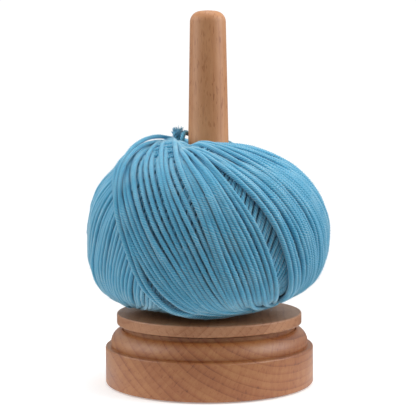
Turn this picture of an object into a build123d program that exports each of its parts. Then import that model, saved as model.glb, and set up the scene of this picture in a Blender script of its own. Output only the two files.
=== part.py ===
from build123d import *
import math
import os

# Revolving yarn holder: a turned beech base, a turntable disc on a sealed ball bearing,
# a tapered spindle on a stud, and a ball of yarn that drops over the spindle.
# Origin: centre of the felt underside. +Z is up. All sizes are millimetres.

# ---- base block ----
BASE_RADIUS = 52.0
DRUM_HEIGHT = 18.4
BASE_BOTTOM_ROUND = 0.8
BASE_TOP_ROUND = 0.8
SHELF_WIDTH = 2.9
OVOLO_RADIUS = 6.9
OVOLO_CENTRE_LIFT = 1.6
QUIRK_WIDTH = 0.6
QUIRK_DEPTH = 0.8
NECK_SET_BACK = 0.7
NECK_HEIGHT = 10.2

# ---- felt under the base ----
FELT_THICKNESS = 2.0
FELT_RADIUS = 47.0
FELT_RECESS = 1.4
FELT_GAP = 0.3
FELT_ROUND = 0.3

# ---- deep groove ball bearing, 22 x 7 on the 8 mm stud ----
BEARING_OUTSIDE = 22.0
BEARING_WIDTH = 7.0
BALL_DIAMETER = 3.969
BALL_COUNT = 7
RACE_CLEARANCE = 0.03
LAND_REACH = 1.45
SHIELD_SEAT_WIDTH = 0.65
SHIELD_THICKNESS = 0.35
SHIELD_INSET = 0.25
SHIELD_GAP = 0.3
RING_ROUND = 0.3
CAGE_WALL = 1.8
CAGE_BACK = 2.7
CAGE_FRONT = 1.2
POCKET_CLEARANCE = 0.09
BEARING_BELOW_NECK = 1.2
BEARING_LEDGE = 1.5

# ---- turntable ----
DISC_RADIUS = 46.2
DISC_THICKNESS = 5.5
DISC_ROUND = 0.7
DISC_GAP = 0.7

# ---- spindle ----
SPINDLE_HEIGHT = 149.6
SPINDLE_FOOT_RADIUS = 11.65
SPINDLE_SHOULDER_RADIUS = 8.9
SPINDLE_TOP_ROUND = 5.4
SPINDLE_TOP_DOME = 0.3

# ---- stud, spacers, washer and lock nut ----
STUD_DIAMETER = 8.0
STUD_IN_SPINDLE = 34.0
STUD_PAST_NUT = 1.6
STUD_CHAMFER = 0.8
STUD_HOLE_CLEARANCE = 0.05
STUD_HOLE_SPARE_DEPTH = 3.0
WASHER_DIAMETER = 16.0
WASHER_THICKNESS = 1.0
SPACER_SET_BACK = 0.35
LOWER_SPACER_THICKNESS = 1.0
NUT_ACROSS_FLATS = 13.0
NUT_HEIGHT = 8.0
NUT_COLLAR_HEIGHT = 2.0
NUT_COLLAR_WALL = 0.9
NYLON_HEIGHT = 1.4
NUT_SIDE_GAP = 2.0

# ---- yarn ball ----
YARN_RADIUS = 60.4
YARN_HEIGHT = 86.0
YARN_WIDEST_SHARE = 0.445
YARN_LOWER_FULLNESS = 2.9
YARN_UPPER_FULLNESS = 2.25
YARN_FOOT_RADIUS = 37.0
YARN_RIM_RADIUS = 24.0
YARN_HOLE_CLEARANCE = 1.6
YARN_FUNNEL_RADIUS = 18.0
YARN_FUNNEL_DEPTH = 12.0
YARN_FOOT_BEND = 1.2
YARN_CROWN_BEND = 7.0
YARN_REST_GAP = 0.35
YARN_DIAMETER = 3.4

# ---- loose end of the yarn ----
TAIL_FOOT_REACH = 17.4
TAIL_TIP_REACH = 18.6
TAIL_SET_BACK = 3.0
TAIL_BURIED = 3.0
TAIL_RISE = 5.6

# ---- heights that follow from the sizes above ----
WOOD_BOTTOM = FELT_THICKNESS - FELT_RECESS
SHELF_TOP = WOOD_BOTTOM + DRUM_HEIGHT
NECK_TOP = SHELF_TOP + NECK_HEIGHT
DISC_BOTTOM = NECK_TOP + DISC_GAP
DISC_TOP = DISC_BOTTOM + DISC_THICKNESS
SPINDLE_TOP = DISC_TOP + SPINDLE_HEIGHT
BEARING_TOP = NECK_TOP - BEARING_BELOW_NECK
BEARING_BOTTOM = BEARING_TOP - BEARING_WIDTH
BEARING_MIDDLE = (BEARING_TOP + BEARING_BOTTOM) / 2
WASHER_BOTTOM = DISC_BOTTOM - WASHER_THICKNESS
NUT_TOP = BEARING_BOTTOM - LOWER_SPACER_THICKNESS
NUT_BOTTOM = NUT_TOP - NUT_HEIGHT
YARN_BOTTOM = DISC_TOP + YARN_REST_GAP
YARN_TOP = YARN_BOTTOM + YARN_HEIGHT

# ---- radii that follow from the sizes above ----
STUD_RADIUS = STUD_DIAMETER / 2
BEARING_RADIUS = BEARING_OUTSIDE / 2
PITCH_RADIUS = (STUD_RADIUS + BEARING_RADIUS) / 2
INNER_LAND_RADIUS = PITCH_RADIUS - LAND_REACH
OUTER_LAND_RADIUS = PITCH_RADIUS + LAND_REACH
SHIELD_RADIUS = OUTER_LAND_RADIUS + SHIELD_SEAT_WIDTH
SPACER_RADIUS = INNER_LAND_RADIUS - SPACER_SET_BACK


def lathe(*outline):
    """A solid turned about Z from a closed outline of (radius, height) corners."""
    return turned(Polyline(*[(r, 0, z) for r, z in outline], close=True))


def turned(*edges):
    """A solid turned about Z from edges that close in the XZ plane."""
    return revolve(make_face(list(edges)), Axis.Z)


def tube(inner, outer, bottom, top):
    """A plain ring about Z."""
    return lathe((inner, bottom), (outer, bottom), (outer, top), (inner, top))


def rim(solid, radius, height):
    """The circular edges of a given radius at a given height."""
    found = solid.edges().filter_by(GeomType.CIRCLE)
    return [e for e in found if abs(e.radius - radius) < 0.01 and abs(e.center().Z - height) < 0.01]


def base_block():
    """Drum, shelf, quarter-round moulding and neck in one turned piece, bored for the bearing."""
    foot_angle = math.asin(-OVOLO_CENTRE_LIFT / OVOLO_RADIUS)
    centre_radius = BASE_RADIUS - SHELF_WIDTH - OVOLO_RADIUS * math.cos(foot_angle)
    arc_centre = Vector(centre_radius, 0, SHELF_TOP + OVOLO_CENTRE_LIFT)
    neck_radius = arc_centre.X + NECK_SET_BACK
    top_angle = math.acos((NECK_SET_BACK + QUIRK_WIDTH) / OVOLO_RADIUS)

    def on_ovolo(angle):
        return arc_centre + Vector(math.cos(angle), 0, math.sin(angle)) * OVOLO_RADIUS

    foot = on_ovolo(foot_angle)
    top = on_ovolo(top_angle)
    moulding = ThreePointArc(foot, on_ovolo((foot_angle + top_angle) / 2), top)
    below = Polyline((0, 0, WOOD_BOTTOM), (BASE_RADIUS, 0, WOOD_BOTTOM), (BASE_RADIUS, 0, SHELF_TOP), foot)
    above = Polyline(
        top,
        (neck_radius, 0, top.Z - QUIRK_DEPTH),
        (neck_radius, 0, NECK_TOP),
        (0, 0, NECK_TOP),
        (0, 0, WOOD_BOTTOM),
    )
    block = turned(below, moulding, above)
    block = fillet(rim(block, BASE_RADIUS, WOOD_BOTTOM), BASE_BOTTOM_ROUND)
    block = fillet(rim(block, BASE_RADIUS, SHELF_TOP), BASE_TOP_ROUND)
    nut_bore = NUT_ACROSS_FLATS / math.sqrt(3) + NUT_SIDE_GAP
    through_radius = min(nut_bore, BEARING_RADIUS - BEARING_LEDGE)
    block -= tube(0, through_radius, WOOD_BOTTOM - 1, BEARING_BOTTOM + 1)
    block -= tube(0, BEARING_RADIUS, BEARING_BOTTOM, NECK_TOP + 1)
    block -= tube(0, FELT_RADIUS + FELT_GAP, WOOD_BOTTOM - 1, FELT_THICKNESS)
    return block


def felt_pad():
    """Felt disc glued in the recess; it is what the holder stands on."""
    pad = tube(0, FELT_RADIUS, 0, FELT_THICKNESS)
    return fillet(rim(pad, FELT_RADIUS, 0), FELT_ROUND)


def raceway():
    """The groove that the balls run in, as a solid ring to cut away."""
    groove = Plane.XZ * Pos(PITCH_RADIUS, BEARING_MIDDLE) * Circle(BALL_DIAMETER / 2 + RACE_CLEARANCE)
    return revolve(groove, Axis.Z)


def bearing_outer_ring():
    """Outer race, pressed into the neck, with a step at each face for its shield."""
    ring = tube(OUTER_LAND_RADIUS, BEARING_RADIUS, BEARING_BOTTOM, BEARING_TOP)
    edges = rim(ring, BEARING_RADIUS, BEARING_BOTTOM) + rim(ring, BEARING_RADIUS, BEARING_TOP)
    ring = fillet(edges, RING_ROUND) - raceway()
    seat = SHIELD_INSET + SHIELD_THICKNESS
    ring -= tube(0, SHIELD_RADIUS, BEARING_TOP - seat, BEARING_TOP + 1)
    ring -= tube(0, SHIELD_RADIUS, BEARING_BOTTOM - 1, BEARING_BOTTOM + seat)
    return ring


def bearing_inner_ring():
    """Inner race, clamped on the stud."""
    ring = tube(STUD_RADIUS, INNER_LAND_RADIUS, BEARING_BOTTOM, BEARING_TOP)
    edges = rim(ring, STUD_RADIUS, BEARING_BOTTOM) + rim(ring, STUD_RADIUS, BEARING_TOP)
    return fillet(edges, RING_ROUND) - raceway()


def bearing_shield(face_height, inward):
    """Pressed steel shield, held in the outer ring and just clear of the inner one."""
    outer_face = face_height + inward * SHIELD_INSET
    inner_face = outer_face + inward * SHIELD_THICKNESS
    low, high = sorted((outer_face, inner_face))
    return tube(INNER_LAND_RADIUS + SHIELD_GAP, SHIELD_RADIUS, low, high)


def ball_places():
    """Centres of the bearing balls, evenly spaced on the pitch circle."""
    step = 2 * math.pi / BALL_COUNT
    circle = [(math.cos(i * step), math.sin(i * step)) for i in range(BALL_COUNT)]
    return [Vector(PITCH_RADIUS * x, PITCH_RADIUS * y, BEARING_MIDDLE) for x, y in circle]


def bearing_cage():
    """Snap-in polyamide cage: a ring with one open pocket for each ball."""
    back = BEARING_MIDDLE - CAGE_BACK
    front = BEARING_MIDDLE + CAGE_FRONT
    cage = tube(PITCH_RADIUS - CAGE_WALL / 2, PITCH_RADIUS + CAGE_WALL / 2, back, front)
    for place in ball_places():
        cage -= Pos(place) * Sphere(BALL_DIAMETER / 2 + POCKET_CLEARANCE)
    return cage


def turntable_disc():
    """Flat disc that the yarn rests on."""
    disc = tube(STUD_RADIUS + STUD_HOLE_CLEARANCE, DISC_RADIUS, DISC_BOTTOM, DISC_TOP)
    return fillet(rim(disc, DISC_RADIUS, DISC_BOTTOM) + rim(disc, DISC_RADIUS, DISC_TOP), DISC_ROUND)


def spindle():
    """Straight-tapered peg with a round shoulder and a shallow dome."""
    shoulder = SPINDLE_TOP - SPINDLE_TOP_DOME - SPINDLE_TOP_ROUND
    dome_radius = SPINDLE_SHOULDER_RADIUS - SPINDLE_TOP_ROUND
    corner = Vector(dome_radius, 0, shoulder)
    diagonal = Vector(math.cos(math.pi / 4), 0, math.sin(math.pi / 4))
    start = Vector(SPINDLE_SHOULDER_RADIUS, 0, shoulder)
    end = Vector(dome_radius, 0, SPINDLE_TOP - SPINDLE_TOP_DOME)
    side = Polyline((0, 0, SPINDLE_TOP), (0, 0, DISC_TOP), (SPINDLE_FOOT_RADIUS, 0, DISC_TOP), start)
    round_edge = ThreePointArc(start, corner + diagonal * SPINDLE_TOP_ROUND, end)
    cap_radius = (dome_radius**2 + SPINDLE_TOP_DOME**2) / (2 * SPINDLE_TOP_DOME)
    half_way_drop = cap_radius - math.sqrt(cap_radius**2 - dome_radius**2 / 4)
    dome = ThreePointArc(end, (dome_radius / 2, 0, SPINDLE_TOP - half_way_drop), (0, 0, SPINDLE_TOP))
    peg = turned(side, round_edge, dome)
    hole_depth = STUD_IN_SPINDLE + STUD_HOLE_SPARE_DEPTH
    return peg - tube(0, STUD_RADIUS, DISC_TOP - 1, DISC_TOP + hole_depth)


def hanger_bolt():
    """Stud through disc, bearing and nut, screwed up into the spindle; threads left plain."""
    bottom = NUT_BOTTOM - STUD_PAST_NUT
    top = DISC_TOP + STUD_IN_SPINDLE
    stud = tube(0, STUD_RADIUS, bottom, top)
    return chamfer(rim(stud, STUD_RADIUS, bottom) + rim(stud, STUD_RADIUS, top), STUD_CHAMFER)


def lock_nut():
    """Hexagonal nut with a round collar that holds the nylon ring."""
    hexagon = RegularPolygon(NUT_ACROSS_FLATS / 2, 6, major_radius=False)
    body_bottom = NUT_BOTTOM + NUT_COLLAR_HEIGHT
    nut = extrude(Pos(0, 0, body_bottom) * hexagon, NUT_HEIGHT - NUT_COLLAR_HEIGHT)
    nut += tube(0, NUT_ACROSS_FLATS / 2 - NUT_COLLAR_WALL / 2, NUT_BOTTOM, body_bottom)
    nut -= tube(0, NUT_ACROSS_FLATS / 2 - 1.5 * NUT_COLLAR_WALL, NUT_BOTTOM - 1, NUT_BOTTOM + NYLON_HEIGHT)
    return nut - tube(0, STUD_RADIUS, NUT_BOTTOM - 1, NUT_TOP + 1)


def nylon_ring():
    """Locking insert in the nut's collar."""
    outer = NUT_ACROSS_FLATS / 2 - 1.5 * NUT_COLLAR_WALL
    return tube(STUD_RADIUS, outer, NUT_BOTTOM, NUT_BOTTOM + NYLON_HEIGHT)


def yarn_outline_radius(height):
    """Outside radius of the ball at a height: two half ovals, squarer below than above."""
    widest = YARN_BOTTOM + YARN_HEIGHT * YARN_WIDEST_SHARE
    upper = height > widest
    reach = YARN_TOP + 1.0 - widest if upper else widest - YARN_BOTTOM + 0.4
    fullness = YARN_UPPER_FULLNESS if upper else YARN_LOWER_FULLNESS
    share = abs(height - widest) / reach
    return YARN_RADIUS * (1 - share**fullness) ** (1 / fullness)


def yarn_ball():
    """Outer shape of the wound ball with the hole that the spindle passes through."""
    side_points = 10
    low = YARN_BOTTOM + YARN_FOOT_BEND
    high = YARN_TOP - YARN_CROWN_BEND
    heights = [low + (high - low) * i / (side_points - 1) for i in range(side_points)]
    wall = Spline(*[(yarn_outline_radius(z), 0, z) for z in heights])
    hole = SPINDLE_FOOT_RADIUS + YARN_HOLE_CLEARANCE
    under = Line((YARN_FOOT_RADIUS, 0, YARN_BOTTOM), wall @ 0)
    rim_peak = (YARN_RIM_RADIUS, 0, YARN_TOP)
    crown = Spline(wall @ 1, rim_peak, tangents=[wall % 1, (-1, 0, 0)])
    mouth = Spline(
        rim_peak,
        (YARN_FUNNEL_RADIUS - 1.0, 0, YARN_TOP - YARN_FUNNEL_DEPTH / 3),
        (hole, 0, YARN_TOP - YARN_FUNNEL_DEPTH),
        tangents=[(-1, 0, 0), (0, 0, -1)],
    )
    inside = Polyline(
        (hole, 0, YARN_TOP - YARN_FUNNEL_DEPTH),
        (hole, 0, YARN_BOTTOM + YARN_FUNNEL_DEPTH),
        (YARN_FUNNEL_RADIUS, 0, YARN_BOTTOM),
        (YARN_FOOT_RADIUS, 0, YARN_BOTTOM),
    )
    return turned(under, wall, crown, mouth, inside)


def yarn_tail():
    """Cut end of the yarn, standing up out of the hole beside the spindle."""
    foot = Vector(-TAIL_FOOT_REACH, TAIL_SET_BACK, YARN_TOP - TAIL_BURIED - YARN_DIAMETER)
    tip = Vector(-TAIL_TIP_REACH, TAIL_SET_BACK, YARN_TOP + TAIL_RISE)
    run = tip - foot
    end = Plane(origin=foot, z_dir=run)
    stem = extrude(end * Circle(YARN_DIAMETER / 2), run.length)
    return fillet(stem.faces().sort_by(Axis.Z)[-1].edges(), YARN_DIAMETER / 4)


parts = {
    "base_block": base_block(),
    "felt_pad": felt_pad(),
    "bearing_outer_ring": bearing_outer_ring(),
    "bearing_shield_upper": bearing_shield(BEARING_TOP, -1),
    "bearing_shield_lower": bearing_shield(BEARING_BOTTOM, 1),
    "bearing_inner_ring": bearing_inner_ring(),
    "bearing_cage": bearing_cage(),
    "turntable_disc": turntable_disc(),
    "spindle": spindle(),
    "hanger_bolt": hanger_bolt(),
    "disc_washer": tube(STUD_RADIUS, WASHER_DIAMETER / 2, WASHER_BOTTOM, DISC_BOTTOM),
    "upper_spacer": tube(STUD_RADIUS, SPACER_RADIUS, BEARING_TOP, WASHER_BOTTOM),
    "lower_spacer": tube(STUD_RADIUS, SPACER_RADIUS, NUT_TOP, BEARING_BOTTOM),
    "lock_nut": lock_nut(),
    "nylon_ring": nylon_ring(),
    "yarn_ball": yarn_ball(),
    "yarn_tail": yarn_tail(),
}
for number, place in enumerate(ball_places(), start=1):
    parts[f"bearing_ball_{number}"] = Pos(place) * Sphere(BALL_DIAMETER / 2)

os.makedirs("parts", exist_ok=True)
for name, part in parts.items():
    export_step(part, f"parts/{name}.step")
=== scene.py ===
import math

import bmesh
import bpy
import numpy as np
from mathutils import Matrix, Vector


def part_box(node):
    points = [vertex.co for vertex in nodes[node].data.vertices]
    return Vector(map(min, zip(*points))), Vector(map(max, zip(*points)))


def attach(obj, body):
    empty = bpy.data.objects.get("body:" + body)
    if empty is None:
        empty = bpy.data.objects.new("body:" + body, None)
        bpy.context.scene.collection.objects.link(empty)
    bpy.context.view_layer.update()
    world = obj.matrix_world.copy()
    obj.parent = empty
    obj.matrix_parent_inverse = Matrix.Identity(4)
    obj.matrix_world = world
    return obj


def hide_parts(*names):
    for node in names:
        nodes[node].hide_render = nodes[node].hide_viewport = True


# A revolving yarn holder: turned and varnished beech, with a ball of plied yarn on its spindle.
# Metres, +Z up, the holder's front towards -Y.

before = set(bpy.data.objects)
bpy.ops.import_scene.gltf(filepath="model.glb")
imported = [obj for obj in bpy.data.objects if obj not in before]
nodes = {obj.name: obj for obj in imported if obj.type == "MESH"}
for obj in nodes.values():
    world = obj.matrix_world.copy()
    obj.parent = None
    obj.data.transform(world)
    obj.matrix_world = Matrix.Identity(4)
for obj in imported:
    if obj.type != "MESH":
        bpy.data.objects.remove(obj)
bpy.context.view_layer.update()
MM = 0.001

DISC_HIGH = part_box("turntable_disc")[1]
SPINDLE_LOW, SPINDLE_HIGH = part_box("spindle")
BALL_LOW, BALL_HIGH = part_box("yarn_ball")
TAIL_LOW, TAIL_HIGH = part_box("yarn_tail")


# ---------------------------------------------------------------- node helpers

def linear(code):
    """A colour given as an sRGB hex code, as linear red, green, blue and alpha."""
    parts = [int(code[i:i + 2], 16) / 255 for i in (0, 2, 4)]
    return [p / 12.92 if p <= 0.04045 else ((p + 0.055) / 1.055) ** 2.4 for p in parts] + [1.0]


def add(tree, kind, inputs=None, **settings):
    """Adds one node; inputs holds values or sockets by input name or number."""
    made = tree.nodes.new(kind)
    for name, value in settings.items():
        setattr(made, name, value)
    for key, value in (inputs or {}).items():
        if isinstance(value, bpy.types.NodeSocket):
            tree.links.new(value, made.inputs[key])
        else:
            made.inputs[key].default_value = value
    return made


def new_material(name):
    """An empty material and its tree, with an output waiting for a shader."""
    material = bpy.data.materials.new(name)
    material.use_nodes = True
    tree = material.node_tree
    tree.nodes.clear()
    return material, tree


def finish_material(tree, colour, roughness, normal, **constants):
    """Joins colour, roughness and bump to one Principled shader; the rest are constants."""
    inputs = {"Base Color": colour, "Roughness": roughness, "Normal": normal}
    shader = add(tree, "ShaderNodeBsdfPrincipled", inputs)
    for name, value in constants.items():
        shader.inputs[name.replace("_", " ")].default_value = value
    add(tree, "ShaderNodeOutputMaterial", {"Surface": shader.outputs[0]})


def noise(tree, vector, scale, detail=4.0, roughness=0.55, distortion=0.0):
    """Grey noise of a given feature scale."""
    inputs = {"Vector": vector, "Scale": scale, "Detail": detail, "Roughness": roughness}
    inputs["Distortion"] = distortion
    return add(tree, "ShaderNodeTexNoise", inputs).outputs["Fac"]


def level(tree, value, low, high, to_low=0.0, to_high=1.0, smooth=True):
    """Maps a range of a value onto another range, held at both ends."""
    kind = "SMOOTHSTEP" if smooth else "LINEAR"
    inputs = {"Value": value, "From Min": low, "From Max": high, "To Min": to_low, "To Max": to_high}
    return add(tree, "ShaderNodeMapRange", inputs, interpolation_type=kind, clamp=True).outputs[0]


def sums(tree, how, a, b, clamp=False):
    """One arithmetic step on two values."""
    return add(tree, "ShaderNodeMath", {0: a, 1: b}, operation=how, use_clamp=clamp).outputs[0]


def blend_colours(tree, factor, first, second):
    """Mixes two colours, each a socket or a linear colour."""
    inputs = {0: factor, 6: first, 7: second}
    return add(tree, "ShaderNodeMix", inputs, data_type="RGBA").outputs[2]


def ramp(tree, factor, stops):
    """A colour ramp from (place, hex colour) stops."""
    made = add(tree, "ShaderNodeValToRGB", {"Fac": factor})
    elements = made.color_ramp.elements
    while len(elements) < len(stops):
        elements.new(0.5)
    for element, (place, code) in zip(elements, stops):
        element.position = place
        element.color = linear(code)
    return made.outputs["Color"]


def bump(tree, height, depth, strength=1.0):
    """A bump from a height of 0 to 1 that stands for a depth in metres."""
    inputs = {"Height": height, "Distance": depth, "Strength": strength}
    return add(tree, "ShaderNodeBump", inputs).outputs[0]


# ---------------------------------------------------------------- wood and hard parts

def board_coordinates(tree, pith, fibres):
    """Distance from the pith, place round it and place along the fibres, each in millimetres."""
    turn = {"X": (0, math.radians(-90), 0), "Y": (math.radians(90), 0, 0), "Z": (0, 0, 0)}[fibres]
    place = add(tree, "ShaderNodeTexCoord").outputs["Object"]
    moved = add(tree, "ShaderNodeVectorMath", {0: place, 1: pith}, operation="SUBTRACT").outputs[0]
    turned = add(tree, "ShaderNodeMapping", {"Vector": moved, "Rotation": turn, "Scale": (1000, 1000, 1000)})
    parts = add(tree, "ShaderNodeSeparateXYZ", {0: turned.outputs[0]})
    across, up, along = parts.outputs[0], parts.outputs[1], parts.outputs[2]
    squares = sums(tree, "ADD", sums(tree, "MULTIPLY", across, across), sums(tree, "MULTIPLY", up, up))
    distance = sums(tree, "SQRT", squares, 0.0)
    angle = sums(tree, "ARCTAN2", up, across)
    return distance, angle, along


def joined(tree, x, y, z):
    """A vector from three values."""
    return add(tree, "ShaderNodeCombineXYZ", {0: x, 1: y, 2: z}).outputs[0]


def varnished_beech(name, pith, fibres, ring_width, ring_strength, ray_strength, fleck_strength,
                    pore_strength, coat, light, middle, dark):
    """Steamed beech under satin varnish: faint growth rings, fine rays and short brown pore flecks.

    ring_width is in millimetres. The pith is a place in metres, and the fibres run along the axis named."""
    material, tree = new_material(name)
    distance, angle, along = board_coordinates(tree, pith, fibres)
    place = add(tree, "ShaderNodeTexCoord").outputs["Object"]
    wander = noise(tree, place, 22.0, 2.0)
    wavy = sums(tree, "ADD", distance, sums(tree, "MULTIPLY", wander, 5.0))
    count = sums(tree, "DIVIDE", wavy, ring_width)
    share = sums(tree, "FRACT", count, 0.0)
    late = sums(tree, "POWER", level(tree, share, 0.2, 0.95, smooth=False), 2.6)
    edge = level(tree, share, 0.95, 1.0, 1.0, 0.0)
    ring = sums(tree, "MULTIPLY", late, edge)
    each = noise(tree, joined(tree, sums(tree, "FLOOR", count, 0.0), 0.0, 0.0), 0.61, 0.0)
    ring = sums(tree, "MULTIPLY", ring, level(tree, each, 0.3, 0.7, 0.35, 1.0))
    arc = sums(tree, "MULTIPLY", angle, 60.0)
    rays_at = joined(tree, sums(tree, "MULTIPLY", distance, 0.09), arc, sums(tree, "MULTIPLY", along, 0.12))
    rays = level(tree, noise(tree, rays_at, 0.9, 2.0, 0.5), 0.42, 0.62)
    fine_at = joined(tree, sums(tree, "MULTIPLY", distance, 0.22), arc, sums(tree, "MULTIPLY", along, 0.12))
    fine = level(tree, noise(tree, fine_at, 1.9, 1.0, 0.5), 0.60, 0.70)
    pores_at = joined(tree, distance, arc, sums(tree, "MULTIPLY", along, 0.07))
    pores = level(tree, noise(tree, pores_at, 3.1, 1.0, 0.4), 0.60, 0.74)
    broad = noise(tree, joined(tree, sums(tree, "MULTIPLY", distance, 0.05), angle,
                               sums(tree, "MULTIPLY", along, 0.012)), 1.6, 3.0)
    tone = sums(tree, "MULTIPLY", ring, ring_strength)
    tone = sums(tree, "ADD", tone, level(tree, broad, 0.3, 0.7, 0.0, 0.45))
    tone = sums(tree, "SUBTRACT", tone, sums(tree, "MULTIPLY", rays, ray_strength))
    tone = sums(tree, "ADD", tone, sums(tree, "MULTIPLY", fine, fleck_strength), True)
    wood = ramp(tree, tone, ((0.0, light), (0.5, middle), (1.0, dark)))
    wood = blend_colours(tree, sums(tree, "MULTIPLY", pores, pore_strength), wood, linear("7A3F1E"))
    grain = bump(tree, sums(tree, "MULTIPLY", pores, -1.0), 0.00012, 0.35)
    shine = level(tree, noise(tree, place, 60.0, 3.0), 0.3, 0.7, 0.44, 0.54)
    finish_material(tree, wood, shine, grain, IOR=1.5, Coat_Weight=coat, Coat_Roughness=0.38)
    return material


def pressed_felt(name):
    """Black wool felt: matted fibres, no shine, soft edges."""
    material, tree = new_material(name)
    place = add(tree, "ShaderNodeTexCoord").outputs["Object"]
    mat = noise(tree, place, 900.0, 6.0, 0.7, 1.5)
    colour = ramp(tree, mat, ((0.3, "17181A"), (0.7, "34363A")))
    rough = level(tree, mat, 0.2, 0.8, 0.88, 1.0)
    finish_material(tree, colour, rough, bump(tree, mat, 0.0004, 0.8), Sheen_Weight=0.4, Sheen_Roughness=0.5)
    return material


def ground_steel(name, light, dark, low_shine, high_shine):
    """Hard steel ground round its axis: bright, with very fine rings from the wheel."""
    material, tree = new_material(name)
    distance, angle, along = board_coordinates(tree, (0, 0, 0), "Z")
    marks_at = joined(tree, distance, sums(tree, "MULTIPLY", angle, 0.4), along)
    marks = noise(tree, marks_at, 9.0, 3.0, 0.6)
    colour = ramp(tree, marks, ((0.3, dark), (0.7, light)))
    rough = level(tree, marks, 0.3, 0.7, low_shine, high_shine)
    finish_material(tree, colour, rough, bump(tree, marks, 0.00002, 0.3), Metallic=1.0)
    return material


def moulded_plastic(name, light, dark):
    """Unfilled nylon from a mould: milky, faintly mottled, soft gloss."""
    material, tree = new_material(name)
    place = add(tree, "ShaderNodeTexCoord").outputs["Object"]
    cloud = noise(tree, place, 350.0, 3.0)
    colour = ramp(tree, cloud, ((0.3, dark), (0.7, light)))
    rough = level(tree, cloud, 0.3, 0.7, 0.38, 0.5)
    finish_material(tree, colour, rough, bump(tree, cloud, 0.00003, 0.3), Subsurface_Weight=0.05)
    return material


def dress(material, *names):
    """Gives CAD nodes their finish."""
    for name in names:
        nodes[name].data.materials.clear()
        nodes[name].data.materials.append(material)


base_beech = varnished_beech(
    "Varnished beech, end grain", pith=(0.045, 0.0, 0.083), fibres="Y", ring_width=3.6, ring_strength=0.55,
    ray_strength=0.16, fleck_strength=0.28, pore_strength=0.45, coat=0.32,
    light="9F683B", middle="8C5027", dark="643212")
disc_beech = varnished_beech(
    "Varnished beech, disc board", pith=(-0.062, 0.0, 0.105), fibres="Y", ring_width=3.1, ring_strength=0.45,
    ray_strength=0.14, fleck_strength=0.34, pore_strength=0.42, coat=0.25,
    light="A87754", middle="96623F", dark="78482B")
spindle_beech = varnished_beech(
    "Varnished beech, long grain", pith=(0.031, 0.085, 0.0), fibres="Z", ring_width=2.6, ring_strength=0.30,
    ray_strength=0.12, fleck_strength=0.42, pore_strength=0.22, coat=0.14,
    light="C98F61", middle="B87B4D", dark="97592F")
felt = pressed_felt("Pressed wool felt")
race_steel = ground_steel("Ground bearing steel", "D6D8DA", "A9ABAE", 0.14, 0.24)
shield_steel = ground_steel("Pressed steel shield", "BFC1C3", "96989B", 0.26, 0.40)
zinc_steel = ground_steel("Bright zinc on steel", "C9CFD3", "98A0A6", 0.22, 0.36)
polyamide = moulded_plastic("Moulded polyamide cage", "E2D9BE", "CFC4A4")
nylon = moulded_plastic("Moulded nylon insert", "E6E6DF", "D3D3CB")

dress(base_beech, "base_block")
dress(disc_beech, "turntable_disc")
dress(spindle_beech, "spindle")
dress(felt, "felt_pad")
dress(race_steel, "bearing_outer_ring", "bearing_inner_ring", *[f"bearing_ball_{i + 1}" for i in range(7)])
dress(shield_steel, "bearing_shield_upper", "bearing_shield_lower")
dress(zinc_steel, "hanger_bolt", "disc_washer", "upper_spacer", "lower_spacer", "lock_nut")
dress(polyamide, "bearing_cage")
dress(nylon, "nylon_ring")


# ---------------------------------------------------------------- winding of the yarn

# Lengths here are in millimetres. A turn is measured from the front towards +X, and a place is the
# distance down the ball's outline from its top hole.
STRAND = 2.65                       # across one strand
LOOPS = 136                         # loops in the two outermost layers
OUTER_LOOPS = LOOPS // 2
LAYER = 2.55                        # how far one layer of strands lifts the next
LAST_LOOP_ANGLE = math.radians(-121.3)  # where the last loop passes the hole
LEVEL_SHARE = 0.66                  # the loop, as a share of all, that lies on the ball's outline
STEP = 0.5                          # between points on a strand
HALF_LOOP = 176.0                   # from where a loop passes the hole to each of its ends
HOLE_CIRCLE = 24.5                  # loops pass the hole on a circle of about this radius
TOP_PULL = 5.0                      # how far the loops are drawn in towards the spindle at the top
LOW_SPREAD = 9.0                    # how far the ball's weight spreads them on the disc

BALL_RADIUS = (BALL_HIGH.x - BALL_LOW.x) / 2 / MM
BALL_BOTTOM = BALL_LOW.z / MM
BALL_TOP = BALL_HIGH.z / MM
DISC_TOP = DISC_HIGH.z / MM
SPINDLE_RADIUS = (SPINDLE_HIGH.x - SPINDLE_LOW.x) / 2 / MM
WIDEST_SHARE = 0.445                # the ball is widest a little below the middle
WIDEST = BALL_BOTTOM + WIDEST_SHARE * (BALL_TOP - BALL_BOTTOM)
UPPER_FULLNESS = 2.25               # 2 is an ellipse, and more is squarer
LOWER_FULLNESS = 2.9
rng = np.random.default_rng(11)


def smooth(value, low, high):
    """0 below low, 1 above high, with a soft turn between."""
    share = np.clip((value - low) / (high - low), 0, 1)
    return share * share * (3 - 2 * share)


def ball_outline():
    """The ball's outline from the top hole to the bottom one: places, radii, heights and normals."""
    angle = np.radians(np.linspace(89, -89, 3000))
    upper = angle > 0
    fullness = np.where(upper, UPPER_FULLNESS, LOWER_FULLNESS)
    reach = np.where(upper, BALL_TOP + 1.0 - WIDEST, WIDEST - BALL_BOTTOM + 0.4)
    sizes = (np.cos(angle) / BALL_RADIUS) ** fullness + (np.abs(np.sin(angle)) / reach) ** fullness
    size = sizes ** (-1 / fullness)
    radius, height = size * np.cos(angle), WIDEST + size * np.sin(angle)
    steps = np.hypot(np.diff(radius), np.diff(height))
    along = np.concatenate([[0], np.cumsum(steps)])
    normal_r, normal_z = -np.gradient(height, along), np.gradient(radius, along)
    return along, radius, height, normal_r, normal_z


OUT_ALONG, OUT_RADIUS, OUT_HEIGHT, OUT_NORMAL_R, OUT_NORMAL_Z = ball_outline()
OUT_SLOPE = np.gradient(OUT_RADIUS, OUT_ALONG)


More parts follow.
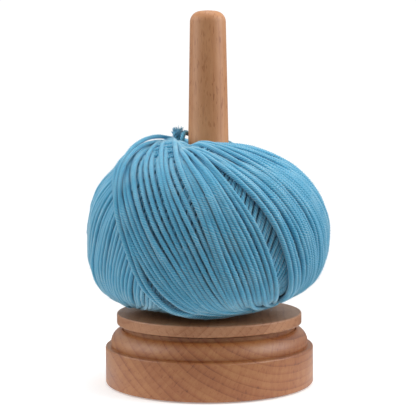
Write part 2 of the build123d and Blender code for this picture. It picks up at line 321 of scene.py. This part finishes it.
def half_loops(circle, length):
    """The shortest paths over the ball from where they pass the hole, each on its own circle."""
    upper = OUT_HEIGHT > WIDEST
    place = np.interp(circle, OUT_RADIUS[upper], OUT_ALONG[upper])
    turn = np.zeros_like(circle)
    lean = np.full_like(circle, math.pi / 2 - 1e-4)
    places, turns = [place.copy()], [turn.copy()]
    for _ in range(int(length / STEP)):
        radius = np.interp(place, OUT_ALONG, OUT_RADIUS)
        slope = np.interp(place, OUT_ALONG, OUT_SLOPE)
        middle = lean - slope * np.sin(lean) / radius * STEP / 2
        place = place + np.cos(middle) * STEP
        turn = turn + np.sin(middle) / radius * STEP
        lean = lean - slope * np.sin(middle) / radius * STEP
        places.append(place.copy())
        turns.append(turn.copy())
    return np.array(places).T, np.array(turns).T


def waves(count, along, size, shortest=40.0, longest=130.0, spread=1.0):
    """A wobble along each strand that its neighbours share in part, so strands bunch and part."""
    total = np.zeros((count, len(along)))
    order = np.arange(count)[:, None]
    for _ in range(5):
        wave = rng.uniform(shortest, longest)
        phase = rng.uniform(0, 2 * math.pi) + order * rng.uniform(0.35, 1.3) * spread * rng.choice((-1, 1))
        total += np.sin(2 * math.pi * along[None, :] / wave + phase)
    return total * size / math.sqrt(5 / 2)


SLIM_LOW, SLIM_HIGH, SLIM_TOP = 3.9, 1.5, 0.5   # how much slimmer the right side is at three levels
BULGE = 1.4                         # how far the lower left bulges
DIP_DEPTH = 2.2                     # the shallow dip in the rim of the hole
DIP_TURN = math.radians(-28)
DIP_WIDTH = 0.2                     # radians


def settled(place, turn):
    """How much deeper the ball lies than its even outline: it has slumped left and slimmed on the right."""
    turn = (turn + math.pi) % (2 * math.pi) - math.pi
    right, left = np.clip(np.sin(turn), 0, 1), np.clip(-np.sin(turn), 0, 1)
    low_side = smooth(place, 82, 132)
    high_side = smooth(place, 10, 45) * (1 - smooth(place, 55, 88))
    near_top = 1 - smooth(place, 22, 55)
    slim = right * (SLIM_LOW * low_side + SLIM_HIGH * high_side + SLIM_TOP * near_top)
    dip = DIP_DEPTH * np.exp(-((turn - DIP_TURN) / DIP_WIDTH) ** 2) * near_top
    return slim + dip - left * BULGE * low_side


def surface_point(place, turn, depth):
    """Points at a depth under the ball's outline, drawn in at the top hole and spread on the disc."""
    radius = np.interp(place, OUT_ALONG, OUT_RADIUS)
    # strands end just above the disc: the deeper ones a little higher, and those in front higher again
    lowest = DISC_TOP + STRAND / 2 + 0.15 + 0.9 * np.clip(depth + 0.5, 0, None)
    lowest = lowest + 0.5 * np.clip(np.cos(turn), 0, 1)
    depth = depth + settled(place, turn)
    near_hole = 1 - smooth(radius, 22, 50)
    top_half, low_half = OUT_HEIGHT > WIDEST, OUT_HEIGHT <= WIDEST
    upper = place < OUT_ALONG[low_half][0]
    radius = radius + np.where(upper, -TOP_PULL, LOW_SPREAD) * near_hole
    place_top = np.interp(radius, OUT_RADIUS[top_half], OUT_ALONG[top_half])
    place_low = np.interp(-radius, -OUT_RADIUS[low_half], OUT_ALONG[low_half])
    place = np.where(near_hole > 0, np.where(upper, place_top, place_low), place)
    radius = np.interp(place, OUT_ALONG, OUT_RADIUS) - depth * np.interp(place, OUT_ALONG, OUT_NORMAL_R)
    height = np.interp(place, OUT_ALONG, OUT_HEIGHT) - depth * np.interp(place, OUT_ALONG, OUT_NORMAL_Z)
    height = np.maximum(height, lowest)
    radius = np.maximum(radius, SPINDLE_RADIUS + STRAND / 2 + 0.6)
    return np.stack([radius * np.sin(turn), -radius * np.cos(turn), height], axis=-1)


POLE_LIFT = 1.95                    # strands pile up in three levels round the holes
GAP_LOOP = 111                      # the loop on the left of the open gap in front
GAP_WIDTH = math.radians(7.0)
GAP_SPREAD = math.radians(0.8)      # how much further apart the next few loops lie
GAP_FADE = 27                       # loops over which the older ones come back into step
GAP_LIFT = 0.9                      # how far the two loops beside the gap stand up
LOOSE_LOOPS = 15                    # the last loops lie slack over the rim of the hole
ARCH_LIFT = 4.3                     # how far the very last loop arches off the ball
ARCH_FADE = 3.4                     # loops over which that dies away
ARCH_PLACE = 30.0                   # where along the loop the arch is highest
STRAY_LOOP = 128                    # a slack loop that lies across its neighbours
STRAY_TURN = math.radians(2.3)
STRAY_LIFT = 1.5
STRAY_SHARES = (1.0, 0.62, 0.34, 0.14)  # of that turn: the loops laid before it close the space it leaves


def hump(along, start, reach, sharpness):
    """0 outside a stretch of the strand, and 1 in the middle of it."""
    return np.sin(np.pi * np.clip((along - start) / reach, 0, 1)) ** sharpness


def loosened(order, after_it, along, turn, depth):
    """Opens the gap in front, arches the last loops off the ball and lays one of them astray."""
    swell = hump(along, 12, 160.0, 1.3)
    earlier = np.clip(GAP_LOOP - order, 0, None)
    shift = np.where(earlier > 0, GAP_WIDTH + GAP_SPREAD * np.minimum(earlier - 1, 3), 0.0)
    shift = shift * np.clip(1 - (earlier - 4) / GAP_FADE, 0, 1)
    turn = turn + shift[:, None] * swell[None, :]
    raised = np.isin(order, (GAP_LOOP - 1, GAP_LOOP - 2)) * GAP_LIFT
    depth = depth - raised[:, None] * swell[None, :]
    arch = (along / ARCH_PLACE) ** 2.0 * np.exp(2.0 * (1 - along / ARCH_PLACE))
    slip = ARCH_LIFT * np.exp(-after_it / ARCH_FADE)
    depth = depth - slip[:, None] * arch[None, :]
    stray = hump(along, 8, 105, 1.5)
    for behind, share in enumerate(STRAY_SHARES):
        turn[STRAY_LOOP - behind] -= STRAY_TURN * share * stray
    depth[STRAY_LOOP] -= STRAY_LIFT * stray
    return turn, depth


def loop_paths():
    """Every loop of the two outermost layers, from the first laid to the last."""
    order = np.arange(LOOPS)
    after_it = LOOPS - 1 - order
    slack = np.where((after_it > 1) & (after_it < LOOSE_LOOPS), 1 - (after_it - 2) / LOOSE_LOOPS, 0.0)
    circle = HOLE_CIRCLE + 1.2 * np.sin(order * 0.30) + rng.uniform(-0.8, 0.8, LOOPS)
    circle = circle + slack * 7.0 + (after_it < 2) * -1.0
    places, turns = half_loops(circle, HALF_LOOP)
    along = np.arange(places.shape[1]) * STEP
    first = LAST_LOOP_ANGLE + 2 * math.pi * after_it / LOOPS
    level_of = np.array([2, 0, 1])[order % 3]
    lift = LAYER * 2 * order / (LOOPS - 1)
    base_depth = STRAND / 2 + 2 * LAYER * LEVEL_SHARE - lift + rng.uniform(-0.3, 0.3, LOOPS)

    def half(sign):
        radius = np.interp(places, OUT_ALONG, OUT_RADIUS)
        pile = (1 - smooth(radius, 26, 52)) * (2 - level_of)[:, None] * POLE_LIFT
        depth = base_depth[:, None] + pile + waves(LOOPS, along, 0.23, spread=1.6)
        turn = turns + waves(LOOPS, along, 0.29) / np.maximum(radius, 30)
        if sign > 0:
            turn, depth = loosened(order, after_it, along, turn, depth)
        return surface_point(places, first[:, None] + sign * turn, depth)

    down, up = half(1), half(-1)
    # the two halves meet where the loop passes the hole, and share that point
    fade = np.exp(-along / 9.0)[None, :, None]
    middle = (down[:, :1] + up[:, :1]) / 2
    down = down + (middle - down[:, :1]) * fade
    up = up + (middle - up[:, :1]) * fade
    return np.concatenate([up[:, :0:-1], down], axis=1)


# ---------------------------------------------------------------- strands from paths

def geometry_tree(name, inputs):
    """A tree with named inputs, each of a kind and a value, and the function that adds a step to it."""
    tree = bpy.data.node_groups.new(name, "GeometryNodeTree")
    for label, (kind, value) in inputs.items():
        made = tree.interface.new_socket(label, in_out="INPUT", socket_type="NodeSocket" + kind)
        if value is not None:
            made.default_value = value
    tree.interface.new_socket("Geometry", in_out="OUTPUT", socket_type="NodeSocketGeometry")

    def step(kind, values=None, output=0, **settings):
        return add(tree, kind, values, **settings).outputs[output]

    return tree, tree.nodes.new("NodeGroupInput").outputs, step


def strand_tree():
    """Turns open edges into twisted, plied strands with closed ends."""
    tree, given, step = geometry_tree("Plied strands", {
        "Geometry": ("Geometry", None), "Radius": ("Float", STRAND / 2 * MM), "Ply depth": ("Float", 0.40),
        "Twist length": ("Float", 5.0 * MM), "Plies": ("Int", 4), "Points round": ("Int", 12),
        "Material": ("Material", None)})

    def kept(geometry, name, value):
        values = {0: geometry, "Name": name, "Value": value}
        return step("GeometryNodeStoreNamedAttribute", values, data_type="FLOAT", domain="POINT")

    curve = step("GeometryNodeMeshToCurve", {0: given["Geometry"]})
    length = step("GeometryNodeSplineParameter", output=1)
    curve = kept(curve, "strand_length", length)
    uneven = step("ShaderNodeTexNoise", {"Scale": 90.0, "Detail": 2.0})
    turns = sums(tree, "DIVIDE", length, given["Twist length"])
    tilt = sums(tree, "MULTIPLY", sums(tree, "SUBTRACT", uneven, turns), 2 * math.pi)
    curve = step("GeometryNodeSetCurveTilt", {0: curve, "Tilt": tilt})

    ring = step("GeometryNodeCurvePrimitiveCircle", {"Resolution": given["Points round"], "Radius": 1.0})
    around = step("GeometryNodeSplineParameter")
    angle = sums(tree, "MULTIPLY", sums(tree, "MULTIPLY", around, 2 * math.pi), given["Plies"])
    hump = sums(tree, "ADD", sums(tree, "MULTIPLY", sums(tree, "COSINE", angle, 0.0), 0.5), 0.5)
    valley = sums(tree, "MULTIPLY", sums(tree, "SUBTRACT", 1.0, hump), given["Ply depth"])
    where = step("GeometryNodeInputPosition")
    inwards = sums(tree, "SUBTRACT", 1.0, valley)
    moved = step("ShaderNodeVectorMath", {0: where, "Scale": inwards}, operation="SCALE")
    ring = step("GeometryNodeSetPosition", {0: ring, "Position": moved})
    ring = kept(kept(ring, "ply_height", hump), "round_strand", around)

    thick = step("GeometryNodeInputNamedAttribute", {"Name": "thickness"}, data_type="FLOAT")
    size = sums(tree, "MULTIPLY", thick, given["Radius"])
    swept = {"Curve": curve, "Profile Curve": ring, "Scale": size, "Fill Caps": True}
    mesh = step("GeometryNodeCurveToMesh", swept)
    mesh = step("GeometryNodeSetShadeSmooth", {0: mesh, "Shade Smooth": True})
    mesh = step("GeometryNodeRealizeInstances", {0: mesh})
    mesh = step("GeometryNodeSetMaterial", {0: mesh, "Material": given["Material"]})
    tree.links.new(mesh, tree.nodes.new("NodeGroupOutput").inputs[0])
    return tree


def set_inputs(modifier, **values):
    """Sets a modifier's inputs by their sockets' identifiers."""
    for item in modifier.node_group.interface.items_tree:
        label = item.name.replace(" ", "_")
        if item.in_out == "INPUT" and label in values:
            modifier[item.identifier] = values[label]


def made_plain(piece, name):
    """The evaluated result of a piece as a plain mesh, with no modifier left."""
    bpy.context.view_layer.update()
    seen = piece.evaluated_get(bpy.context.evaluated_depsgraph_get())
    mesh = bpy.data.meshes.new_from_object(seen)
    piece.modifiers.clear()
    result = bpy.data.objects.new(name, mesh)
    mesh.name = name
    bpy.context.scene.collection.objects.link(result)
    bpy.data.objects.remove(piece)
    return result


def outward(piece):
    """Turns a closed mesh so that its faces point outwards."""
    shape = bmesh.new()
    shape.from_mesh(piece.data)
    bmesh.ops.recalc_face_normals(shape, faces=shape.faces)
    shape.to_mesh(piece.data)
    shape.free()


def strands(name, paths, material, every=1, thickness=None, tail=False, **sizes):
    """One piece of plied strands along a set of paths, each a row of points in millimetres."""
    points, edges, thick = [], [], []
    for number, path in enumerate(paths):
        kept = path[::every]
        start = len(points)
        points.extend(map(tuple, kept * MM))
        edges.extend((start + i, start + i + 1) for i in range(len(kept) - 1))
        thick.extend(np.ones(len(kept)) if thickness is None else thickness[number][::every])
    mesh = bpy.data.meshes.new(name)
    mesh.from_pydata(points, edges, [])
    mesh.attributes.new("thickness", "FLOAT", "POINT").data.foreach_set("value", thick)
    piece = bpy.data.objects.new(name + "_paths", mesh)
    bpy.context.scene.collection.objects.link(piece)
    modifier = piece.modifiers.new("strands", "NODES")
    modifier.node_group = STRAND_TREE
    set_inputs(modifier, Material=material, **sizes)
    made = made_plain(piece, name)
    on_yarn(made, tail)
    return made


def on_yarn(piece, tail=False):
    """Makes a piece lift off with the ball, and stand for the plain ball or for its cut end."""
    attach(piece, "yarn")
    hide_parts("yarn_tail" if tail else "yarn_ball")


def soft_yarn(name):
    """Soft plied acrylic: matt, with a pale halo of fibres; the ply tops are painted paler as highlight and
    the valleys between the plies are painted darker as shade.
    """
    material, tree = new_material(name)
    place = add(tree, "ShaderNodeTexCoord").outputs["Object"]
    hump = add(tree, "ShaderNodeAttribute", attribute_name="ply_height").outputs["Fac"]
    length = add(tree, "ShaderNodeAttribute", attribute_name="strand_length").outputs["Fac"]
    around = add(tree, "ShaderNodeAttribute", attribute_name="round_strand").outputs["Fac"]
    down, round_it = sums(tree, "MULTIPLY", length, 500.0), sums(tree, "MULTIPLY", around, 20.0)
    streak_at = joined(tree, down, round_it, 0.0)
    streak = noise(tree, streak_at, 1.0, 3.0, 0.6)
    fluff = noise(tree, place, 1500.0, 3.0, 0.7)
    patch = noise(tree, place, 90.0, 3.0)
    # painted light and shade: where a ply stands high it is painted paler and in its valleys darker, more
    # strongly in some patches
    ply = sums(tree, "MULTIPLY", level(tree, hump, 0.0, 0.9), level(tree, patch, 0.3, 0.7, 0.25, 0.5))
    tone = sums(tree, "ADD", ply, sums(tree, "MULTIPLY", streak, 0.35))
    tone = sums(tree, "ADD", tone, sums(tree, "MULTIPLY", fluff, 0.35))
    # the pale top of this ramp is partly a painted highlight on the ply tops and partly random tone from
    # streaks and fluff
    colour = ramp(tree, tone, ((0.20, "3294BB"), (0.50, "60B5D9"), (0.78, "90C8E0"), (1.0, "BADDEA")))
    height = sums(tree, "ADD", sums(tree, "MULTIPLY", streak, 0.5), sums(tree, "MULTIPLY", fluff, 0.5))
    rough = level(tree, fluff, 0.2, 0.8, 0.82, 0.98)
    finish_material(tree, colour, rough, bump(tree, height, 0.0004, 0.8), Sheen_Weight=0.7,
                    Sheen_Roughness=0.45, Sheen_Tint=linear("EAF4F9"), Specular_IOR_Level=0.1)
    return material


STRAND_TREE = strand_tree()
yarn = soft_yarn("Soft blue plied yarn")
loops = loop_paths()
points_on_loop = np.arange(loops.shape[1]) * STEP
loop_thickness = 1 + rng.uniform(-0.06, 0.06, (LOOPS, 1)) + waves(LOOPS, points_on_loop, 0.03, 8, 30, 3.0)
loop_thickness[GAP_LOOP - 4:GAP_LOOP] *= 1.08
from_middle = np.abs(points_on_loop - points_on_loop[-1] / 2)
loop_thickness *= 1 - 0.12 * (1 - smooth(from_middle, 18, 50))    # drawn tight where they cross at the hole



def winding(name, first, last, pieces, every, points_round):
    """The loops from first to last, shared out over a number of pieces."""
    cuts = np.linspace(first, last, pieces + 1).astype(int)
    made = []
    for number, (start, stop) in enumerate(zip(cuts, cuts[1:]), 1):
        made.append(strands(f"{name}_{number}", loops[start:stop], yarn, every, loop_thickness[start:stop],
                            Points_round=points_round))
    return made


outer_pieces = winding("outer_winding", OUTER_LOOPS, LOOPS, 7, 1, 12)
winding("inner_winding", 0, OUTER_LOOPS, 3, 2, 8)       # mostly hidden, so coarser


CORE_DEPTH = 2 * LAYER + STRAND * 0.8
CORE_CLEARANCE = 1.7                # from the spindle's foot to the core


def wound_core(around=120):
    """The wound body under the strands, a closed ring with the hole for the spindle."""
    places = OUT_ALONG[(OUT_RADIUS > 26) & (OUT_HEIGHT > BALL_BOTTOM)][::60]
    hole = SPINDLE_RADIUS + CORE_CLEARANCE
    points = []
    angles = np.linspace(0, 2 * math.pi, around, endpoint=False)
    for angle in angles:
        deep = CORE_DEPTH + settled(places, angle)
        radius = np.interp(places, OUT_ALONG, OUT_RADIUS) - deep * np.interp(places, OUT_ALONG, OUT_NORMAL_R)
        height = np.interp(places, OUT_ALONG, OUT_HEIGHT) - deep * np.interp(places, OUT_ALONG, OUT_NORMAL_Z)
        height = np.maximum(height, DISC_TOP + 0.8)
        top = [(hole, height[0] - 9.0), (hole + 2.0, height[0] - 4.0), (hole + 6.0, height[0] - 0.8)]
        low = [(hole + 6.0, height[-1] + 0.8), (hole + 2.0, height[-1] + 4.0), (hole, height[-1] + 9.0)]
        outline = top + list(zip(radius, height)) + low
        points.extend((r * MM * math.sin(angle), -r * MM * math.cos(angle), z * MM) for r, z in outline)
    count = len(points) // around
    faces = []
    for i in range(around):
        for j in range(count):
            a, b, k = i * count, ((i + 1) % around) * count, (j + 1) % count
            faces.append((a + j, b + j, b + k, a + k))
    mesh = bpy.data.meshes.new("wound_core")
    mesh.from_pydata(points, [], faces)
    mesh.materials.append(yarn)
    mesh.polygons.foreach_set("use_smooth", [True] * len(faces))
    piece = bpy.data.objects.new("wound_core", mesh)
    bpy.context.scene.collection.objects.link(piece)
    outward(piece)
    on_yarn(piece)


wound_core()


def curve_through(points, step=0.5):
    """A smooth path through a few points in millimetres, with about even steps."""
    points = np.array(points, float)
    ends = np.vstack([2 * points[0] - points[1], points, 2 * points[-1] - points[-2]])
    made = []
    for a, b, c, d in zip(ends, ends[1:], ends[2:], ends[3:]):
        count = max(2, int(np.linalg.norm(c - b) / step))
        for t in np.linspace(0, 1, count, endpoint=False):
            made.append(0.5 * (2 * b + (c - a) * t + (2 * a - 5 * b + 4 * c - d) * t ** 2
                               + (3 * b - a - 3 * c + d) * t ** 3))
    return np.array(made + [points[-1]])


TAIL_X = (TAIL_LOW.x + TAIL_HIGH.x) / 2 / MM + 2.4
TAIL_Y = (TAIL_LOW.y + TAIL_HIGH.y) / 2 / MM
TAIL_TOP = TAIL_HIGH.z / MM - 1.0
TAIL_FOOT = TAIL_LOW.z / MM
TAIL_OPENS = TAIL_TOP - 5.2         # where the plies start to open
TAIL_TWIST = 6.0                    # in which the plies go round each other once
PLY_RADIUS = 0.88
PLY_OFFSET = 0.85                   # from the middle of the strand to that of a ply
FIBRES_ON_PLY = 80
FIBRE_RADIUS = 0.13


def frayed_tail():
    """The cut end: four plies that untwist at the top and part into two tufts of fine fibres."""
    ply_paths, fibre_paths = [], []
    for ply in range(4):
        side = -1 if ply < 2 else 1
        path = []
        for height in np.arange(TAIL_FOOT, TAIL_TOP - 1.1 + 0.3 * ply, 0.4):
            angle = ply * math.pi / 2 + height / TAIL_TWIST * 2 * math.pi
            open_by = max(0.0, height - TAIL_OPENS)
            across = PLY_OFFSET + 0.06 * open_by
            drift = side * 0.24 * open_by ** 1.2
            x = TAIL_X + across * math.cos(angle) + drift
            path.append((x, TAIL_Y + across * math.sin(angle), height))
        path = np.array(path)
        ply_paths.append(path)
        tip = path[-1]
        for _ in range(FIBRES_ON_PLY):
            lean = np.array([0.3 * side, 0.0, 1.0]) + rng.normal(0, 0.3, 3)
            start = tip + rng.normal(0, 0.55, 3) - np.array([0, 0, rng.uniform(0, 2.2)])
            reach = rng.uniform(0.6, 1.5)
            bend = rng.normal(0, 0.3, 3)
            share = np.linspace(0, 1, 6)[:, None]
            fibre_paths.append(start + lean * reach * share + bend * share * share)
    strands("yarn_tail_plies", ply_paths, yarn, tail=True, Radius=PLY_RADIUS * MM, Points_round=8,
            Twist_length=2.4 * MM)
    strands("yarn_tail_tufts", fibre_paths, yarn, tail=True, Radius=FIBRE_RADIUS * MM, Points_round=4,
            Ply_depth=0.0)


def collar():
    """The last turn inside the hole: it leans on the spindle at the left and passes behind it."""
    foot = SPINDLE_RADIUS + 2.6
    near = SPINDLE_RADIUS - 1.5 + STRAND / 2 + 0.5      # the spindle is thinner up here
    top = TAIL_TOP - 1.6
    return curve_through([
        (-foot - 1.5, -4.0, top - 16), (-foot, -2.6, top - 9), (-near - 1.0, -0.8, top - 3),
        (-near - 0.1, 2.2, top), (-near + 2.4, 6.6, top - 0.6), (-4.5, near + 0.2, top - 1.9),
        (1.5, near + 0.8, top - 3.6), (7.0, near - 1.6, top - 4.6), (near - 0.6, 5.4, top - 6.0),
        (near + 0.8, 0.6, top - 9.5), (near + 1.6, -4.0, top - 15)])


frayed_tail()
strands("collar_turn", [collar()], yarn)


def fibre_tree():
    """Scatters short bent fibres over the parts of the strands that face out of the ball."""
    tree, given, step = geometry_tree("Loose fibres", {
        "Geometry": ("Geometry", None), "Per square metre": ("Float", 60000.0),
        "Length": ("Float", 2.2 * MM), "Thickness": ("Float", 0.035 * MM),
        "Centre": ("Vector", None), "Material": ("Material", None)})
    where, normal = step("GeometryNodeInputPosition"), step("GeometryNodeInputNormal")
    away = step("ShaderNodeVectorMath", {0: where, 1: given["Centre"]}, operation="SUBTRACT")
    away = step("ShaderNodeVectorMath", {0: away}, operation="NORMALIZE")
    facing = step("ShaderNodeVectorMath", {0: away, 1: normal}, output="Value", operation="DOT_PRODUCT")
    outside = step("FunctionNodeCompare", {0: facing, 1: 0.45}, data_type="FLOAT", operation="GREATER_THAN")
    spread = {"Mesh": given["Geometry"], "Selection": outside, "Density": given["Per square metre"],
              "Seed": 5}
    spots = add(tree, "GeometryNodeDistributePointsOnFaces", spread).outputs
    bend = {"Resolution": 4, "Start": (0, 0, 0), "Start Handle": (0, 0, 0.4), "End Handle": (0.5, 0, 0.75),
            "End": (0.85, 0.1, 0.45)}
    arc = step("GeometryNodeCurvePrimitiveBezierSegment", bend)
    ring = step("GeometryNodeCurvePrimitiveCircle", {"Resolution": 3, "Radius": 1.0})
    share = sums(tree, "DIVIDE", given["Thickness"], given["Length"])
    swept = {"Curve": arc, "Profile Curve": ring, "Scale": share, "Fill Caps": True}
    fibre = step("GeometryNodeCurveToMesh", swept)
    widest_turn = (0.5, 0.5, 6.283)     # a little lean, and any turn round the fibre's foot
    spin = {0: (0, 0, 0), 1: widest_turn, "Seed": 8}
    spin = step("FunctionNodeRandomValue", spin, data_type="FLOAT_VECTOR")
    turned = step("FunctionNodeRotateEuler", {"Rotation": spots["Rotation"], "Rotate By": spin},
                  rotation_type="EULER", space="LOCAL")
    grow = step("FunctionNodeRandomValue", {2: 0.4, 3: 1.1, "Seed": 9}, output=1, data_type="FLOAT")
    grow = sums(tree, "MULTIPLY", grow, given["Length"])
    placed = {"Points": spots["Points"], "Instance": fibre, "Rotation": turned, "Scale": grow}
    placed = step("GeometryNodeInstanceOnPoints", placed)
    mesh = step("GeometryNodeRealizeInstances", {0: placed})
    mesh = step("GeometryNodeSetMaterial", {0: mesh, "Material": given["Material"]})
    tree.links.new(mesh, tree.nodes.new("NodeGroupOutput").inputs[0])
    return tree


def loose_fibres(sources):
    """The fine haze of fibre ends that stands off the outer strands."""
    joined_up = bmesh.new()
    for source in sources:
        joined_up.from_mesh(source.data)
    mesh = bpy.data.meshes.new("fibre_ground")
    joined_up.to_mesh(mesh)
    joined_up.free()
    ground = bpy.data.objects.new("fibre_ground", mesh)
    bpy.context.scene.collection.objects.link(ground)
    modifier = ground.modifiers.new("fibres", "NODES")
    modifier.node_group = fibre_tree()
    set_inputs(modifier, Material=yarn, Centre=(0.0, 0.0, WIDEST * MM))
    on_yarn(made_plain(ground, "loose_fibres"))


loose_fibres(outer_pieces)


# ---------------------------------------------------------------- floor, lights and camera

FLOOR_NEAR = 0.055                  # metres from the axis where the floor starts to fade out
FLOOR_FAR = 0.19


def studio_floor():
    """A plain white table that fades into the white surround away from the holder."""
    below = (0, 0, -5e-5)               # just under the felt, so that the two faces don't flicker
    bpy.ops.mesh.primitive_circle_add(vertices=96, radius=FLOOR_FAR + 0.02, fill_type="NGON", location=below)
    floor = bpy.context.object
    floor.name = "studio_floor"
    material, tree = new_material("White studio table")
    place = add(tree, "ShaderNodeTexCoord").outputs["Object"]
    away = add(tree, "ShaderNodeVectorMath", {0: place}, operation="LENGTH").outputs["Value"]
    fibre = noise(tree, place, 400.0, 4.0)
    paper = ramp(tree, fibre, ((0.3, "F6F6F5"), (0.7, "FBFBFA")))
    shader = add(tree, "ShaderNodeBsdfPrincipled", {
        "Base Color": paper, "Roughness": 0.9, "Emission Color": linear("FFFFFF"), "Emission Strength": 0.28})
    clear = add(tree, "ShaderNodeBsdfTransparent")
    gone = level(tree, away, FLOOR_NEAR, FLOOR_FAR)
    both = add(tree, "ShaderNodeMixShader", {0: gone, 1: shader.outputs[0], 2: clear.outputs[0]})
    add(tree, "ShaderNodeOutputMaterial", {"Surface": both.outputs[0]})
    floor.data.materials.append(material)


def soft_light(name, place, size, power, aim=(0, 0, 0.09)):
    """A square soft box that points at the holder."""
    data = bpy.data.lights.new(name, "AREA")
    data.shape = "RECTANGLE"
    data.size, data.size_y = size
    data.energy = power
    lamp = bpy.data.objects.new(name, data)
    lamp.location = place
    lamp.rotation_euler = (Vector(aim) - Vector(place)).to_track_quat("-Z", "Y").to_euler()
    bpy.context.scene.collection.objects.link(lamp)


def white_surround(above, below, shown_strength):
    """A white studio: it lights softly, less from below, and is pure white where the camera sees it."""
    world = bpy.data.worlds.new("Studio")
    bpy.context.scene.world = world
    world.use_nodes = True
    tree = world.node_tree
    tree.nodes.clear()
    way = add(tree, "ShaderNodeTexCoord").outputs["Generated"]
    upward = add(tree, "ShaderNodeSeparateXYZ", {0: way}).outputs["Z"]
    strength = level(tree, upward, -0.25, 0.25, below, above)
    lights = add(tree, "ShaderNodeBackground", {"Color": linear("FFFFFF"), "Strength": strength})
    shown = add(tree, "ShaderNodeBackground", {"Color": linear("FFFFFF"), "Strength": shown_strength})
    camera_ray = add(tree, "ShaderNodeLightPath").outputs["Is Camera Ray"]
    both = add(tree, "ShaderNodeMixShader", {0: camera_ray, 1: lights.outputs[0], 2: shown.outputs[0]})
    add(tree, "ShaderNodeOutputWorld", {0: both.outputs[0]})


def studio_camera():
    """A long lens a little above the ball, tipped down slightly."""
    data = bpy.data.cameras.new("camera")
    data.lens = 110.7
    data.sensor_width = 36.0
    data.clip_start = 0.01
    camera = bpy.data.objects.new("camera", data)
    camera.location = (-0.00013, -0.6362, 0.1368)
    camera.rotation_euler = (math.radians(90 - 4.45), math.radians(0.26), 0)
    bpy.context.scene.collection.objects.link(camera)
    bpy.context.scene.camera = camera


studio_floor()
white_surround(0.62, 0.08, 1.05)
soft_light("key_right", (0.82, -0.12, 0.46), (0.75, 0.75), 6.4)
soft_light("fill_left", (-0.82, -0.10, 0.43), (0.75, 0.75), 4.3)
soft_light("top", (0.05, 0.10, 0.95), (0.60, 0.60), 2.4)
studio_camera()
bpy.context.scene.view_settings.view_transform = "Standard"
